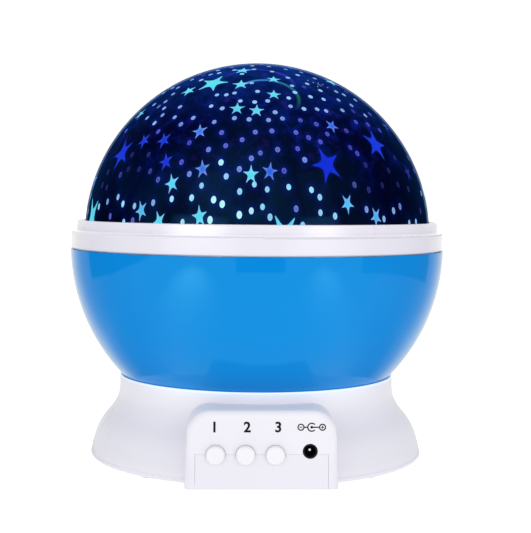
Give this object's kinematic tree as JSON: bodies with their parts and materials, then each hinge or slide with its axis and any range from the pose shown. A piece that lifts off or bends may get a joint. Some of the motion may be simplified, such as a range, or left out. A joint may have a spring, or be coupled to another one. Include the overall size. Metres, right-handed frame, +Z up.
{
  "type": "star night light projector",
  "caption": "Table night light with a dark star-windowed dome on a round bowl that turns on a flared base with push buttons, a low-voltage inlet and a battery bay.",
  "frame": {"origin": "on the lamp's vertical axis, at the surface its rubber feet stand on", "axes": "+Z up along the axis the bowl turns about, -Y towards the control panel, +X to the right seen from the panel"},
  "size_m": [0.1312, 0.1312, 0.1388],
  "materials": {
    "white_plastic": "moulded, gloss",
    "button_plastic": "moulded, satin",
    "blue_plastic": "moulded, high gloss",
    "dome_plastic": "polished, dark with clear star windows lit from inside",
    "foot_rubber": "matt",
    "cell_can": "printed wrap",
    "plated_steel": "bright plated",
    "rotor_steel": "varnished",
    "magnet": "matt",
    "black_plastic": "moulded, satin",
    "circuit_board": "solder mask",
    "gear_brass": "cut",
    "gear_plastic": "natural, satin",
    "led_clear": "clear lens",
    "led_red": "tinted lens",
    "led_green": "tinted lens",
    "led_blue": "tinted lens",
    "lead_jacket": "soft"
  },
  "bodies": {
    "base": {"base_shell": "white_plastic", "base_bottom": "white_plastic", "feet": "foot_rubber", "base_screws": "plated_steel", "battery_cells": "cell_can", "battery_contacts": "plated_steel", "battery_springs": "plated_steel", "main_board": "circuit_board", "board_screws": "plated_steel", "board_parts": "black_plastic", "switch_bodies": "black_plastic", "dc_jack": "black_plastic", "dc_jack_pin": "plated_steel", "motor_can": "plated_steel", "motor_end_cap": "black_plastic", "motor_magnets": "magnet", "motor_screws": "plated_steel", "idler_axle": "plated_steel", "drive_axle": "plated_steel", "lamp_post": "white_plastic", "post_screws": "plated_steel", "glide_washer": "gear_plastic", "bowl_retainer": "gear_plastic", "lamp_board": "circuit_board", "lamp_board_screws": "plated_steel", "led_white": "led_clear", "led_red": "led_red", "led_green": "led_green", "led_blue": "led_blue", "lamp_leads": "lead_jacket", "motor_leads": "lead_jacket", "battery_leads": "lead_jacket"},
    "turning_bowl": {"bowl": "blue_plastic", "rim_ring": "white_plastic", "ring_gear": "gear_plastic", "ring_gear_screws": "plated_steel"},
    "dome": {"star_dome": "dome_plastic", "dome_ring": "white_plastic"},
    "drive": {"drive_gear": "gear_plastic"},
    "idler": {"idler_gear": "gear_plastic"},
    "rotor": {"motor_shaft": "plated_steel", "motor_rotor": "rotor_steel", "motor_pinion": "gear_brass"},
    "button_1": {"button_cap_1": "button_plastic", "switch_plunger_1": "black_plastic"},
    "button_2": {"button_cap_2": "button_plastic", "switch_plunger_2": "black_plastic"},
    "button_3": {"button_cap_3": "button_plastic", "switch_plunger_3": "black_plastic"},
    "door": {"battery_door": "white_plastic"}
  },
  "joints": [
    {"name": "bowl_spin", "type": "hinge", "parent": "base", "child": "turning_bowl", "pos_m": [0, 0, 0.026], "axis": [0, 0, 1], "continuous": true},
    {"name": "dome_lift", "type": "slide", "parent": "turning_bowl", "child": "dome", "axis": [0, 0, 1], "range_m": [0, 0.06]},
    {"name": "drive_gear_spin", "type": "hinge", "parent": "base", "child": "drive", "pos_m": [0.00237, -0.0271, 0.0205], "axis": [0, 0, 1], "continuous": true},
    {"name": "idler_gear_spin", "type": "hinge", "parent": "base", "child": "idler", "pos_m": [0.01407, -0.02974, 0.019], "axis": [0, 0, 1], "continuous": true},
    {"name": "motor_spin", "type": "hinge", "parent": "base", "child": "rotor", "pos_m": [0.024, -0.023, 0.0105], "axis": [0, 0, 1], "continuous": true},
    {"name": "button_1_press", "type": "slide", "parent": "base", "child": "button_1", "axis": [0, 1, 0], "range_m": [0, 0.001], "stiffness_N_per_m": 600, "springref_m": -0.0012},
    {"name": "button_2_press", "type": "slide", "parent": "base", "child": "button_2", "axis": [0, 1, 0], "range_m": [0, 0.001], "stiffness_N_per_m": 600, "springref_m": -0.0012},
    {"name": "button_3_press", "type": "slide", "parent": "base", "child": "button_3", "axis": [0, 1, 0], "range_m": [0, 0.001], "stiffness_N_per_m": 600, "springref_m": -0.0012},
    {"name": "battery_door_hinge", "type": "hinge", "parent": "base", "child": "door", "pos_m": [0, 0.03725, 0.0015], "axis": [1, 0, 0], "range_deg": [0, 100]}
  ],
  "couplings": [
    {"joint": "drive_gear_spin", "follows": "bowl_spin", "ratio": 6.6667},
    {"joint": "idler_gear_spin", "follows": "bowl_spin", "ratio": -33.333},
    {"joint": "motor_spin", "follows": "bowl_spin", "ratio": 166.67}
  ]
}
